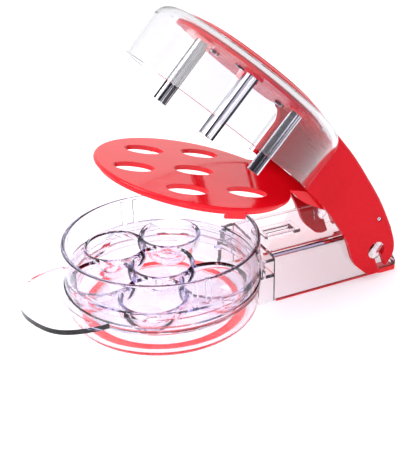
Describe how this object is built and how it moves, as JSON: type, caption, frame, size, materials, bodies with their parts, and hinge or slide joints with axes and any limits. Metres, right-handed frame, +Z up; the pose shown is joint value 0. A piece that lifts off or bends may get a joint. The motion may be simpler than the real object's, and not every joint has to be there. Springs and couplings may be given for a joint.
{
  "type": "cherry pitter",
  "caption": "Hand-lever cherry pitter: pins on a hinged lever push stones out of cherries set in a cupped clear tray over a pit bowl.",
  "frame": {"origin": "middle of the object's footprint on the surface it stands on, with the lever standing half open", "axes": "+X from the tray towards the hinge, +Y to the user's left seen from the tray end, +Z up"},
  "size_m": [0.2158, 0.116, 0.1617],
  "materials": {
    "clear_plastic": "clear, polished",
    "red_plastic": "glossy",
    "red_soft": "satin, slightly soft",
    "red_rubber": "matt",
    "steel": "polished"
  },
  "bodies": {
    "base": {"pit_bowl": "clear_plastic", "nonslip_ring": "red_rubber", "rear_base": "clear_plastic", "foot_strip_left": "red_rubber", "foot_strip_right": "red_rubber", "cherry_tray": "clear_plastic"},
    "lever": {"lever_arm": "red_plastic", "palm_pad": "red_soft", "pin_carrier": "red_plastic", "splash_shield": "clear_plastic", "pivot_rod": "steel", "carrier_screw_rear": "steel", "carrier_screw_left": "steel", "carrier_screw_right": "steel", "pin_centre": "steel", "pin_front": "steel", "pin_front_left": "steel", "pin_front_right": "steel", "pin_rear_left": "steel", "pin_rear_right": "steel"},
    "plate": {"stripper_plate": "red_plastic"}
  },
  "joints": [
    {"name": "lever_hinge", "type": "hinge", "parent": "base", "child": "lever", "pos_m": [0.08943, 0, 0.0189], "axis": [0, 1, 0], "range_deg": [-43.15, 37]},
    {"name": "plate_hinge", "type": "hinge", "parent": "lever", "child": "plate", "pos_m": [0.08999, 0, 0.03866], "axis": [0, 1, 0], "range_deg": [-26, 30]}
  ],
  "couplings": [
    {"joint": "plate_hinge", "follows": "lever_hinge", "ratio": -0.6586}
  ]
}
